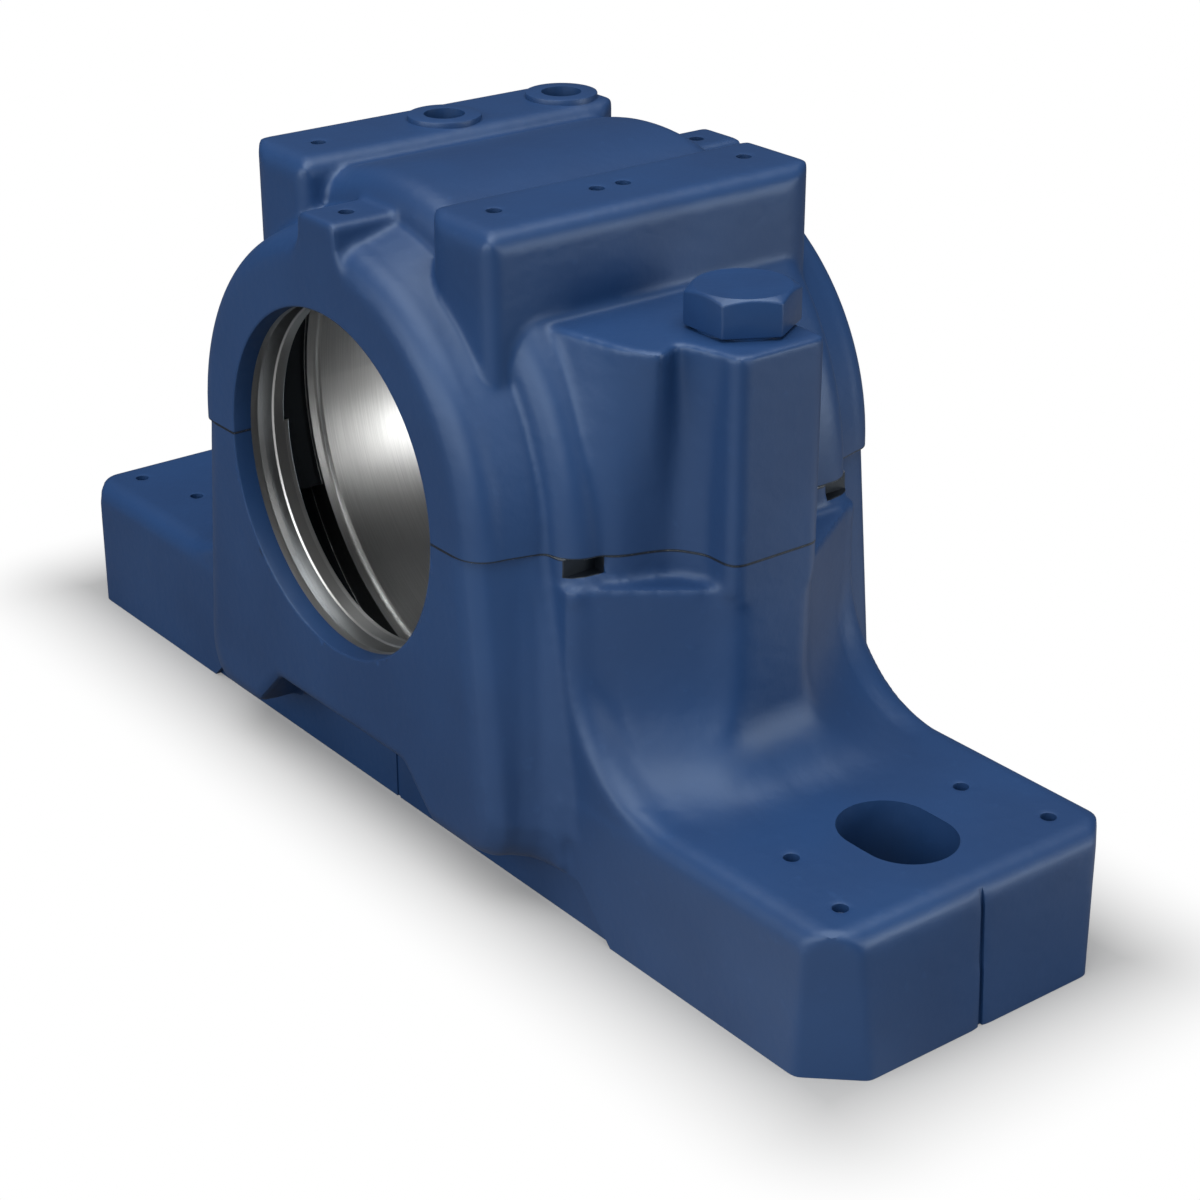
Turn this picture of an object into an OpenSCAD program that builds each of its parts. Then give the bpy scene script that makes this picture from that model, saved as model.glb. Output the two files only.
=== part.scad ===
// Split plummer block: a cast base and a cast cap that meet on the shaft's
// centre plane, held together by two hexagon head bolts and located by two
// dowel pins. Lengths are in millimetres.
// X runs along the base, Y along the shaft, Z points up from the mounting face.
// The origin is the centre of the mounting face, below the shaft's axis.

/* [View] */
// piece to draw

/* [Foot] */
// length of the base along X
base_length = 255; // [230:0.5:290]
// width of the base along Y
base_width = 70; // [60:0.5:80]
// height of the two feet
foot_height = 28; // [22:0.5:36]
// distance from a foot's end to the middle of its fixing slot
slot_end_distance = 22.5; // [15:0.5:30]
// width of a fixing slot
slot_width = 18; // [12:0.5:22]
// length of a fixing slot along X
slot_length = 23; // [18:0.5:30]
// cut off each corner of the base, along X
corner_cut_x = 8.6; // [2:0.1:15]
// cut off each corner of the base, along Y
corner_cut_y = 9.2; // [2:0.1:15]
// how far a foot's end leans in from its lower to its upper edge
foot_draft = 1.5; // [0:0.1:3]
// radius of the feet's upper edges
foot_edge_radius = 4.2; // [1:0.1:6]

/* [Shaft and bearing seat] */
// height of the shaft's axis and of the split plane
shaft_height = 70; // [62:0.5:90]
// diameter of the bearing seat
seat_diameter = 100; // [85:0.5:110]
// length of the bearing seat
seat_length = 34.2; // [20:0.1:44]
// step from the seat to the relief beside it
relief_step = 1; // [0.5:0.1:2]
// length of the relief on each side of the seat
relief_length = 2.3; // [1:0.1:6]
// step from the relief to the cast cavity
cavity_step = 1; // [0.5:0.1:3]
// diameter of the shaft openings in the end walls
shaft_bore_diameter = 66.7; // [50:0.1:76]
// depth of the seal groove below the shaft opening
seal_groove_depth = 3.85; // [1.5:0.05:5]
// width of the seal groove
seal_groove_width = 3.2; // [2:0.1:5]
// thickness of the outer lip in front of the seal groove
outer_lip = 5.6; // [3:0.1:8]
// thickness of the inner lip behind the seal groove, in the base
inner_lip = 3.7; // [2:0.1:6]
// how much thinner the inner lip is in the cap
cap_lip_relief = 1; // [0.2:0.1:1.5]
// distance from the seat's middle to where the cavity starts to close in
cavity_turn = 27.5; // [22:0.1:28.5]
// radius of the cavity's end beside the inner lip
cavity_end_radius = 44; // [40:0.5:46]
// depth of the oil sump below the cavity
sump_depth = 5; // [2:0.5:7]
// distance of the sump's upper edge below the shaft's axis
sump_drop = 22; // [15:0.5:30]

/* [End walls] */
// width over the two end walls along Y
overall_width = 94.2; // [90:0.1:104]
// thickness of the end wall's flat face around the shaft opening, in the cap
face_wall = 8.45; // [7:0.05:12]
// how much narrower the base's end wall is at the split plane
wall_inset = 1.2; // [0.5:0.1:3]
// growth of the end wall's half width from the split plane down to its lower edge
wall_draft = 5.3; // [2:0.1:8]
// radius of the end walls' outer edges
wall_edge_radius = 5.8; // [3:0.1:7]
// how far the end wall widens from its face to its root
wall_flare = 8.3; // [7:0.1:10]
// how much more it widens there at its lower edge
wall_spread = 5.2; // [0:0.1:6]
// height of the end walls' lower edge
wall_bottom = 14.5; // [10:0.5:18]
// drop of the lower edge towards the wall's root, for each millimetre that the wall widens
wall_slope = 0.6; // [0:0.05:0.8]
// half width of the arch in the end wall's lower edge, at its top
arch_half_width = 22; // [14:0.5:28]
// height of that arch
arch_height = 7.2; // [3:0.1:9]

/* [Body] */
// thickness of the body around the bearing seat
body_wall = 6; // [5:0.1:8]
// how far the split flange stands out beyond the body
flange_lip = 0.4; // [0.3:0.1:3]
// how far the columns stand out beyond the flange
column_lip = 1; // [0.5:0.1:2]
// length of the body along Y
body_length = 67.2; // [60:0.1:69]
// distance from the body's end to where the column's slanted faces start
slant_start = 3.1; // [1:0.1:6]
// radius of the flange's corners
body_edge_radius = 5; // [1:0.1:6]
// radius of the cap body's round edges
cap_edge_radius = 6; // [3:0.1:8]
// height of the flange that the base ends in
flange_height = 5; // [3:0.5:8]
// radius of the slide from the body down to the foot
slide_radius = 25; // [12:0.5:32]
// radius of the slide in front of a bolt boss
boss_slide_radius = 14; // [8:0.5:16]
// height of the hollows under the two columns
column_hollow = 19; // [5:1:20]
// height of the hollow under the middle
middle_hollow = 5; // [2:0.5:6]
// thickness of the walls around the hollows
hollow_wall = 9; // [7:0.5:12]

/* [Bolt bosses] */
// distance from the body's side to the bolt's axis
bolt_gap = 5.2; // [4.5:0.1:8]
// distance from the bolt's axis to the boss's end face
boss_reach = 13.2; // [12:0.1:16]
// half width of a bolt boss
boss_half_width = 12; // [11:0.1:14]
// distance from the bolt's axis to the face of the boss away from its gusset
boss_back = 8.2; // [7.5:0.1:12]
// height of a bolt boss above the split plane
boss_height = 37.9; // [30:0.1:44]
// how far the slanted face beside a boss starts behind the boss's end face
boss_set_back = 4; // [2:0.1:6]
// radius of the bosses' upright edges
boss_edge_radius = 2.5; // [1:0.1:4]
// half width of the gusset that carries a boss
gusset_half_width = 21; // [16:0.5:24]
// how far the gusset stands out beyond the bolt's axis at its top
gusset_lead = 2.2; // [0:0.1:4]

/* [Roof] */
// how far the pads' tops lie below the crown of the roof
pad_drop = 0.4; // [0.2:0.05:3]
// distance from the middle to a pad's inner edge
pad_inner = 17.8; // [14:0.1:22]
// width of a pad
pad_width = 22.4; // [20:0.1:26]
// half length of a pad
pad_half_length = 38.2; // [36:0.1:42]
// radius of the two full corners of a pad, seen from above
pad_corner_radius = 9.6; // [5:0.1:11]
// radius of the pads' upper edges
pad_edge_radius = 4; // [1:0.1:5]
// half width of the small boss on top of an end wall
crest_half_width = 6; // [4:0.1:9]
// height of that boss above the shaft's axis
crest_height = 51; // [48:0.5:54]

/* [Lubrication ports] */
// diameter of the raised ring around a port
port_ring_diameter = 14.4; // [12:0.1:18]
// height of that ring above the pad
port_ring_height = 1; // [0.5:0.1:2]
// diameter of a port
port_diameter = 8; // [5:0.1:10]
// distance from the pad's inner edge to a port's ring
port_margin = 2.5; // [1:0.1:4]
// distance from the middle to the second port along Y
port_offset = 28.2; // [24:0.1:29]

/* [Cap bolts] */
// nominal diameter of the cap bolts
bolt_diameter = 12; // [10:0.5:13]
// size across flats of the bolt heads
head_flats = 18; // [16:0.5:19]
// height of the bolt heads
head_height = 6.9; // [6:0.1:9]
// length of the bolts below the head
bolt_length = 60; // [50:1:66]
// depth of the tapped holes below the bolts' ends
tap_spare = 5; // [2:0.5:8]
// length of the thread
thread_length = 30; // [22:1:36]
// difference between the nominal and the pitch diameter of the thread
thread_drop = 1.14; // [0.8:0.01:1.4]
// height of the washer face under the head
washer_face = 0.5; // [0.3:0.1:0.8]
// clearance of the bolt holes in the cap, on the radius
hole_clearance = 0.75; // [0.4:0.05:1.2]
// clearance between the thread and the tapped hole, on the radius
thread_clearance = 0.05; // [0.02:0.01:0.1]

/* [Dowel pins] */
// diameter of the dowel pins
dowel_diameter = 5; // [4:0.5:6]
// length of the dowel pins
dowel_length = 16; // [10:1:20]
// clearance of the dowel pins in their holes, on the radius
dowel_clearance = 0.02; // [0.01:0.01:0.05]

/* [Marks] */
// diameter of the small centre marks
dimple_diameter = 3; // [2:0.1:4]
// depth of the small centre marks
dimple_depth = 1.4; // [0.5:0.1:2]
// width of the centre lines cut in the base's sides
line_width = 1; // [0.6:0.1:1.6]
// depth of those centre lines
line_depth = 0.8; // [0.4:0.1:1.2]
// depth of the recess in the foot's sides between the columns
recess_depth = 0.6; // [0.3:0.1:1.2]
// size of the pry slots below the split plane
pry_height = 3; // [1.5:0.1:4]

/* [Hidden] */
$fn = 96;
over = 60;
joint = 0.2;
pry_wall = 2;
slide_sink = 0.06;
half_length = base_length / 2;
half_base = base_width / 2;
slot_x = half_length - slot_end_distance;
half_top = half_base - foot_draft / 3;
half_wall = overall_width / 2;
half_body = body_length / 2;
seat_radius = seat_diameter / 2;
relief_radius = seat_radius + relief_step;
cavity_radius = relief_radius + cavity_step;
sump_radius = cavity_radius + sump_depth;
relief_end = seat_length / 2 + relief_length;
bore_radius = shaft_bore_diameter / 2;
groove_radius = bore_radius + seal_groove_depth;
groove_start = half_wall - outer_lip - seal_groove_width;
cavity_end = groove_start - inner_lip;
body_radius = seat_radius + body_wall;
face_radius = bore_radius + face_wall;
root_radius = face_radius + wall_flare;
wall_top_half = face_radius - wall_inset;
bolt_x = body_radius + bolt_gap;
boss_face = bolt_x + boss_reach;
flange_half = body_radius + flange_lip;
boss_top = shaft_height + boss_height;
flange_bottom = shaft_height - flange_height;
roof_top = shaft_height + body_radius;
pad_top = roof_top - pad_drop;
pad_outer = pad_inner + pad_width;
pad_middle = pad_inner + pad_width * 0.46;
port_x = pad_inner + port_ring_diameter / 2 + port_margin;
column_x = flange_half + column_lip;
face_corner_x = boss_face - boss_set_back;
face_corner_y = boss_half_width + 1.2;
back_corner_y = boss_back + 1.2;
diagonal_y = half_body - slant_start;
thread_radius = (bolt_diameter - thread_drop) / 2;
bolt_end = boss_top - bolt_length;
tapped_depth = shaft_height - bolt_end + tap_spare;
hollow_inner = 50;
dowel_x = (groove_radius + wall_top_half + wall_edge_radius) / 2;
dowel_y = groove_start + seal_groove_width / 2;

housing_base();
housing_cap();
cap_bolt_right();
cap_bolt_left();
dowel_pin_right();
dowel_pin_left();

// Turns a shape drawn about the Z axis onto the shaft's axis.
module on_shaft() {
    translate([0, 0, shaft_height])
        rotate([90, 0, 0])
            children();
}

// The shape and its mirror image on the other side of the shaft's axis.
module both_sides() {
    children();
    mirror([1, 0, 0]) children();
}

// The shape and its mirror image at the other end of the shaft.
module both_ends() {
    children();
    mirror([0, 1, 0]) children();
}

// A bar with its cross-section in the XZ plane, centred on Y.
module along_shaft(length) {
    translate([0, length / 2, 0])
        rotate([90, 0, 0])
            linear_extrude(height = length) children();
}

// A rectangle in the plane with rounded corners, from its corner and size.
module round_plate(corner, size, radius) {
    translate([corner[0] + radius, corner[1]])
        square([size[0] - 2 * radius, size[1]]);
    translate([corner[0], corner[1] + radius])
        square([size[0], size[1] - 2 * radius]);
    for (x = [radius, size[0] - radius])
        for (y = [radius, size[1] - radius])
            translate([corner[0] + x, corner[1] + y]) circle(r = radius);
}

// A small conical centre mark whose mouth lies at the given point.
module dimple(point) {
    translate([point[0], point[1], point[2] - dimple_depth])
        cylinder(r1 = 0.2, r2 = dimple_diameter / 2, h = dimple_depth);
    translate([point[0], point[1], point[2]])
        cylinder(r = dimple_diameter / 2, h = 1);
}

// Outline of the body with both bolt bosses, seen from above.
module boss_outline() {
    round_plate([-flange_half, -half_body], [2 * flange_half, body_length], body_edge_radius);
    turned_pair() {
        boss_plan();
        polygon(gusset_outline(0));
    }
}

// Outline of one bolt boss: it reaches further on the side of its gusset.
module boss_plan() {
    round_plate([0, -boss_half_width], [boss_face, boss_half_width + boss_back], boss_edge_radius);
}

// The whole inside, from one shaft opening to the other.
module inner_space(cavity_half) {
    end = half_wall + 1;
    groove_end = groove_start + seal_groove_width;
    half = [
        [bore_radius, end], [bore_radius, groove_end], [groove_radius, groove_end],
        [groove_radius, groove_start], [bore_radius, groove_start], [bore_radius, cavity_half],
        [cavity_end_radius, cavity_half], [cavity_radius, cavity_turn]
    ];
    mirrored = [for (i = [len(half) - 1 : -1 : 0]) [half[i][0], -half[i][1]]];
    on_shaft()
        rotate_extrude()
            polygon(concat([[0, end]], half, mirrored, [[0, -end]]));
}

// The ring that carries the bearing: its bore is the seat, with a relief on each side.
module seat_ring() {
    on_shaft()
        difference() {
            cylinder(r = body_radius - 1, h = 2 * relief_end, center = true);
            cylinder(r = seat_radius, h = seat_length + 2, center = true);
            for (side = [-1, 1])
                translate([0, 0, side * (seat_length / 2 + relief_length)])
                    cylinder(r = relief_radius, h = 2 * relief_length, center = true);
        }
}

// Cast base: foot, columns, end walls and the lower half of the seat.
module housing_base() {
    color([0.2, 0.31, 0.49])
        difference() {
            union() {
                difference() {
                    union() {
                        foot();
                        base_body();
                        both_ends() base_wall();
                    }
                    inner_space(cavity_end);
                    sump();
                }
                difference() {
                    seat_ring();
                    translate([-over, -over, shaft_height]) cube([2 * over, 2 * over, over]);
                }
            }
            base_cuts();
        }
}

// Flat foot with cut corners and rounded upper edges.
module foot() {
    intersection() {
        linear_extrude(height = foot_height)
            polygon([
                [-half_length + corner_cut_x, -half_base],
                [half_length - corner_cut_x, -half_base],
                [half_length, -half_base + corner_cut_y],
                [half_length, half_base - corner_cut_y],
                [half_length - corner_cut_x, half_base],
                [-half_length + corner_cut_x, half_base],
                [-half_length, half_base - corner_cut_y],
                [-half_length, -half_base + corner_cut_y]
            ]);
        along_shaft(base_width + 2) foot_profile(half_length, foot_draft);
        rotate([0, 0, 90])
            along_shaft(base_length + 2) foot_profile(half_base, half_base - half_top);
    }
}

// Section of the foot: sides that lean in by the draft, and round upper corners.
module foot_profile(half, lean) {
    top = half - lean;
    radius = foot_edge_radius;
    polygon([[-half, 0], [half, 0], [top, foot_height - radius], [-top, foot_height - radius]]);
    translate([-top + radius, foot_height - 2 * radius])
        square([2 * (top - radius), 2 * radius]);
    both_sides()
        translate([top - radius, foot_height - radius]) circle(r = radius);
}

// Body between the end walls, the flange below the split plane and both columns.
module base_body() {
    translate([0, 0, flange_bottom - 1])
        linear_extrude(height = flange_height + 1) boss_outline();
    translate([0, 0, foot_height - foot_edge_radius - 1])
        linear_extrude(height = flange_bottom - foot_height + foot_edge_radius + 1)
            column_outline();
    intersection() {
        union() {
            translate([0, 0, foot_height - foot_edge_radius - 1])
                linear_extrude(height = flange_bottom - foot_height + foot_edge_radius + 1)
                    round_plate([-column_x, -half_top], [2 * column_x, 2 * half_top], foot_edge_radius);
            both_sides() body_slide(column_x, slide_radius);
            intersection() {
                turned_pair() {
                    diagonal_slide(back_corner_y);
                    mirror([0, 1, 0]) diagonal_slide(face_corner_y);
                }
                translate([-2 * over, -half_top + foot_edge_radius, 0])
                    cube([4 * over, 2 * (half_top - foot_edge_radius), over]);
            }
        }
        rotate([0, 0, 90])
            along_shaft(4 * over) body_side_profile();
    }
    turned_pair()
        translate([0, (boss_back - boss_half_width) / 2, 0])
            along_shaft(boss_half_width + boss_back)
                slide_profile(boss_face, boss_slide_radius);
    turned_pair() {
        corner_slide(back_corner_y);
        mirror([0, 1, 0]) corner_slide(face_corner_y);
    }
}

// Section of the body across the shaft: its sides lean out towards the foot.
module body_side_profile() {
    low = foot_height - foot_edge_radius;
    wide = half_top - 0.3;
    polygon([
        [-wide, low - 2], [wide, low - 2], [wide, low],
        [half_body, flange_bottom], [-half_body, flange_bottom], [-wide, low]
    ]);
}

// Outline of the columns below the flange, with a slanted face beside each boss.
module column_outline() {
    turned_pair()
        polygon([
            [-1, -half_body], [column_x - 3, -half_body], [column_x, -diagonal_y],
            [face_corner_x, -face_corner_y], [boss_face, -boss_half_width + 2],
            [boss_face, boss_back - 2], [face_corner_x, back_corner_y],
            [column_x, diagonal_y], [column_x - 3, half_body], [-1, half_body]
        ]);
}

// Slide turned about the upright corner between a boss and its slanted face.
module corner_slide(corner_y) {
    core = boss_face - face_corner_x;
    translate([face_corner_x, corner_y - core, 0])
        rotate_extrude()
            slide_profile(core, boss_slide_radius * 0.96);
}

// Material left of a hollow arc that runs from an upright face onto the foot.
module slide_profile(face_x, radius) {
    low = foot_height - foot_edge_radius - 1;
    reach = face_x + radius - slide_sink;
    top = foot_height + radius - slide_sink;
    difference() {
        translate([0, low]) square([reach, top - low]);
        translate([reach, top]) circle(r = radius);
    }
}

// Slide over the whole width, with its edges rounded like the foot's upper edges.
module body_slide(face_x, radius) {
    low = foot_height - foot_edge_radius - 1;
    edge = foot_edge_radius;
    reach = face_x + radius - slide_sink;
    top = foot_height + radius - slide_sink;
    start = half_top - edge;
    difference() {
        translate([0, -half_base, low]) cube([reach, base_width, top - low]);
        translate([reach, 0, top])
            rotate([90, 0, 0])
                for (side = [0, 1])
                    mirror([0, 0, side])
                        rotate_extrude()
                            difference() {
                                translate([0, -joint]) square([radius + edge, start + edge + 1 + joint]);
                                translate([radius, -joint * 2]) square([edge + 1, start + joint * 2]);
                                translate([radius + edge, start]) circle(r = edge);
                            }
    }
}

// The same slide in front of the slanted face of a column, which starts at the given y.
module diagonal_slide(corner_y) {
    slant = 90 - atan2(diagonal_y - corner_y, face_corner_x - column_x);
    reach = column_x * cos(slant) + diagonal_y * sin(slant);
    start = diagonal_y * cos(slant) - column_x * sin(slant);
    width = norm([face_corner_x - column_x, diagonal_y - corner_y]);
    rotate([0, 0, slant])
        translate([0, start - width / 2 + 2, 0])
            along_shaft(width + 12)
                difference() {
                    slide_profile(reach, slide_radius * 0.75);
                    translate([-1, 0]) square([reach * 0.5, over * 2]);
                }
}

// End wall of the base: a drafted plate with rounded sides that widens to its root.
module base_wall() {
    radius = wall_edge_radius;
    root = half_base - 0.2;
    sections = [
        [half_wall, 0, 0],
        [half_wall - radius * (1 - cos(30)), radius * sin(30), 0],
        [half_wall - radius * (1 - cos(60)), radius * sin(60), 0],
        [half_wall - radius, radius, 0],
        [(half_wall - radius + root) / 2, radius + (wall_flare - radius) * 0.35, wall_spread * 0.25],
        [root, wall_flare, wall_spread],
        [half_body - 1, wall_flare, wall_spread]
    ];
    round = [[0.2, 8], [0.9, 4.2], [2.2, 1.7], [4.2, 0.4], [7, 0]];
    low = len(round);
    outline = function (grow, spread)
        let (top = wall_top_half + grow, side = top + wall_draft + spread)
        let (bottom = wall_bottom - grow * wall_slope)
        concat(
            [[top, shaft_height]],
            [for (r = round) [side - r[0], bottom + r[1]]],
            [for (i = [low - 1 : -1 : 0]) [-side + round[i][0], bottom + round[i][1]]],
            [[-top, shaft_height]]
        );
    count = 2 * low + 2;
    last = len(sections) - 1;
    points = [for (s = sections) for (p = outline(s[1], s[2])) [p[0], s[0], p[1]]];
    sides = [for (i = [0 : last - 1]) for (j = [0 : count - 1])
        let (k = (j + 1) % count)
        for (t = [0, 1])
            t == 0 ? [i * count + j, i * count + k, (i + 1) * count + j]
                   : [i * count + k, (i + 1) * count + k, (i + 1) * count + j]];
    caps = [
        [for (j = [count - 1 : -1 : 0]) j],
        [for (j = [0 : count - 1]) last * count + j]
    ];
    polyhedron(points = points, faces = concat(sides, caps), convexity = 4);
}

// Oil sump on both sides of the seat, cut below the cavity.
module sump() {
    intersection() {
        on_shaft()
            for (side = [-1, 1])
                translate([0, 0, side * (relief_end + cavity_turn) / 2])
                    cylinder(r = sump_radius, h = cavity_turn - relief_end, center = true);
        translate([-over, -over, 0]) cube([2 * over, 2 * over, shaft_height - sump_drop]);
    }
}

// Slots, tapped holes, hollows and marks of the base.
module base_cuts() {
    both_sides() {
        translate([slot_x, 0, -1]) fixing_slot();
        translate([bolt_x, 0, shaft_height - tapped_depth])
            cylinder(r = thread_radius, h = tapped_depth + 1);
        translate([hollow_inner, -half_base + hollow_wall, -1])
            linear_extrude(height = column_hollow + 1)
                round_plate([0, 0], [slot_x - slot_length / 2 - hollow_wall - hollow_inner,
                                     base_width - 2 * hollow_wall], 4);
        translate([line_width * 4, -half_base + hollow_wall, -1])
            linear_extrude(height = middle_hollow + 1)
                round_plate([0, 0], [hollow_inner - hollow_wall - line_width * 4,
                                     base_width - 2 * hollow_wall], 4);
        end_line();
        both_ends() {
            dimple([slot_x - 4.8, 20.1, foot_height]);
            dimple([slot_x + 12.2, 24.5, foot_height]);
        }
    }
    both_ends() {
        wall_arch();
        middle_recess();
        translate([-line_width / 2, half_base - recess_depth - line_depth, -1])
            cube([line_width, over, wall_bottom + 1]);
        both_sides()
            translate([cavity_radius + pry_wall, half_body - 7.5, shaft_height - pry_height])
                cube([over, over, pry_height + 1]);
    }
    dowel_holes();
}

// Upright centre line on the foot's end: it leans with the draft and keeps its depth.
module end_line() {
    lean = foot_draft / (foot_height - foot_edge_radius);
    deep = half_length - line_depth;
    along_shaft(line_width)
        polygon([
            [deep + lean, -1], [half_length + 1, -1],
            [half_length + 1, foot_height - 1], [deep - lean * (foot_height - 1), foot_height - 1]
        ]);
}

// One slot that lets a fixing bolt through, longer along X.
module fixing_slot() {
    linear_extrude(height = foot_height + boss_slide_radius) {
        for (side = [-1, 1])
            translate([side * (slot_length - slot_width) / 2, 0])
                circle(r = slot_width / 2);
        square([slot_length - slot_width, slot_width], center = true);
    }
}

// Flat arch in the lower edge of an end wall.
module wall_arch() {
    drop = wall_flare * wall_slope + 1;
    translate([0, half_wall + 1, 0])
        rotate([90, 0, 0])
            linear_extrude(height = half_wall + 1 - half_base - joint)
                polygon([
                    [-arch_half_width - arch_height - drop, wall_bottom - drop],
                    [arch_half_width + arch_height + drop, wall_bottom - drop],
                    [arch_half_width, wall_bottom + arch_height],
                    [-arch_half_width, wall_bottom + arch_height]
                ]);
}

// Shallow recess of the foot's side between the two columns.
module middle_recess() {
    low = wall_bottom - wall_flare * wall_slope;
    wide = wall_top_half + wall_draft + wall_flare + wall_spread + 0.6;
    translate([0, half_base + 1, 0])
        rotate([90, 0, 0])
            linear_extrude(height = 1 + recess_depth)
                polygon([
                    [-wide - low - 1, -1], [wide + low + 1, -1], [wide + low, 0], [wide, low],
                    [wide - 4, foot_height - 4], [-wide + 4, foot_height - 4], [-wide, low], [-wide - low, 0]
                ]);
}

// Holes for the two dowel pins, across the split plane.
module dowel_holes() {
    for (side = [-1, 1])
        translate([side * dowel_x, -side * dowel_y, shaft_height])
            cylinder(r = dowel_diameter / 2 + dowel_clearance, h = dowel_length + 1, center = true);
}

// Cast cap: upper half of the seat, end walls, roof pads and bolt bosses.
module housing_cap() {
    color([0.2, 0.31, 0.49])
        difference() {
            union() {
                difference() {
                    union() {
                        both_ends() cap_wall();
                        both_ends() crest();
                        cap_body();
                        turned_pair() {
                            boss_gusset();
                            translate([0, 0, shaft_height])
                                linear_extrude(height = boss_height) boss_plan();
                        }
                        turned_pair() roof_pad();
                        port_rings();
                    }
                    inner_space(cavity_end + cap_lip_relief);
                }
                seat_ring();
            }
            translate([-2 * over, -over, -over]) cube([4 * over, 2 * over, over + shaft_height]);
            cap_cuts();
        }
}

// Round end wall of the cap with a rounded outer edge.
module cap_wall() {
    on_shaft()
        mirror([0, 0, 1])
            rotate_extrude() {
                square([face_radius - 0.2, half_wall]);
                translate([face_radius - 0.2, half_wall - wall_edge_radius])
                    circle(r = wall_edge_radius);
                polygon([
                    [0, half_body - 2],
                    [root_radius, half_body - 2],
                    [face_radius - 0.2 + wall_edge_radius, half_wall - wall_edge_radius],
                    [0, half_wall - wall_edge_radius]
                ]);
            }
}

// Small boss on top of an end wall that carries a centre mark.
module crest() {
    half = crest_half_width;
    low = face_radius - 3;
    translate([0, half_wall, shaft_height])
        rotate([90, 0, 0])
            linear_extrude(height = half_wall - half_body + 2)
                polygon([
                    [-half - 4, low], [half + 4, low],
                    [half + 0.6, low + 7], [half, crest_height - 1],
                    [half - 1, crest_height], [-half + 1, crest_height],
                    [-half, crest_height - 1], [-half - 0.6, low + 7]
                ]);
}

// Round body of the cap with rounded edges.
module cap_body() {
    on_shaft()
        for (side = [0, 1])
            mirror([0, 0, side])
                rotate_extrude() {
                    square([body_radius - cap_edge_radius, half_body]);
                    square([body_radius, half_body - cap_edge_radius]);
                    translate([body_radius - cap_edge_radius, half_body - cap_edge_radius])
                        circle(r = cap_edge_radius);
                }
}

// A smooth line through the given points, with extra points between each pair.
function smooth_line(knots, steps) =
    let (last = len(knots) - 1)
    [for (i = [0 : last - 1]) for (k = [0 : steps - 1])
        let (t = k / steps, a = knots[max(i - 1, 0)], b = knots[i])
        let (c = knots[i + 1], d = knots[min(i + 2, last)])
        b + t / 2 * ((c - a) + t * (2 * a - 5 * b + 4 * c - d + t * (3 * b - a - 3 * c + d))),
     knots[last]];

// Outline of a gusset at a height above the split plane, as a share of the boss's height.
// The foot follows the flange, and the top leans out towards the bolt's head.
function gusset_outline(share) =
    let (arc = sqrt(pow(body_radius, 2) - pow(share * boss_height, 2)))
    let (lean = pow(share, 1.6), tip = gusset_half_width, start_y = -half_body + 4 + 2.6 * share)
    let (foot = [
        [flange_half - 1.4, -half_body + 5.6],
        [(flange_half + bolt_x) / 2 - 0.6, -tip - 3],
        [bolt_x - 1.2, -tip + 2.3],
        [bolt_x + 0.6, -boss_half_width - 3.2],
        [bolt_x + 3.2, -boss_half_width - 1.4],
        [bolt_x + 7.6, -boss_half_width + 1]
    ])
    let (top = [
        [pad_outer + 12.4, -half_body + 9],
        [bolt_x - 3, -tip - 2.5],
        [bolt_x + gusset_lead + 0.5, -tip + 0.4],
        [bolt_x + 1.2, -boss_half_width - 4.6],
        [bolt_x + 0.9, -boss_half_width - 2.5],
        [bolt_x + 10, -boss_half_width + 0.1]
    ])
    let (line = [for (i = [0 : len(foot) - 1]) foot[i] + (top[i] - foot[i]) * lean])
    concat(
        [[body_radius / 2, -boss_half_width], [body_radius / 2, start_y]],
        smooth_line(concat([[arc - 1.6, start_y]], line), 3)
    );

// Gusset between the body and a boss: a loft that leans outward towards its top.
module boss_gusset() {
    shares = [for (i = [0 : 7]) i / 7];
    count = len(gusset_outline(0));
    last = len(shares) - 1;
    points = [for (s = shares) for (p = gusset_outline(s)) [p[0], p[1], shaft_height + s * boss_height]];
    sides = [for (i = [0 : last - 1]) for (j = [0 : count - 1])
        let (k = (j + 1) % count)
        for (t = [0, 1])
            t == 0 ? [i * count + j, (i + 1) * count + j, i * count + k]
                   : [i * count + k, (i + 1) * count + j, (i + 1) * count + k]];
    caps = [
        [for (j = [0 : count - 1]) j],
        [for (j = [count : -1 : 1]) last * count + j % count]
    ];
    polyhedron(points = points, faces = concat(sides, caps), convexity = 4);
}

// The shape and its copy turned half way round about the Z axis.
module turned_pair() {
    children();
    rotate([0, 0, 180]) children();
}

// Flat pad beside the crown of the roof, with rounded upper edges.
module roof_pad() {
    low = shaft_height + 20;
    intersection() {
        translate([0, 0, low])
            linear_extrude(height = pad_top - low)
                difference() {
                    round_plate([pad_inner, -pad_half_length], [pad_width, 2 * pad_half_length], 3);
                    full_corner(pad_inner, -1, -1);
                    full_corner(pad_outer, 1, 1);
                }
        along_shaft(2 * pad_half_length + 2)
            round_plate([pad_inner, low - over], [pad_width, pad_top - low + over], pad_edge_radius);
        rotate([0, 0, 90])
            along_shaft(4 * over)
                round_plate([-pad_half_length, 0], [2 * pad_half_length, pad_top], pad_edge_radius);
    }
}

// Material outside a full corner of a pad; the signs tell where the corner points.
module full_corner(edge, sign_x, sign_y) {
    radius = pad_corner_radius;
    translate([edge - sign_x * radius, sign_y * (pad_half_length - radius)])
        difference() {
            translate([sign_x < 0 ? -radius - 1 : 0, sign_y < 0 ? -radius - 1 : 0])
                square([radius + 1, radius + 1]);
            circle(r = radius);
        }
}

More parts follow.
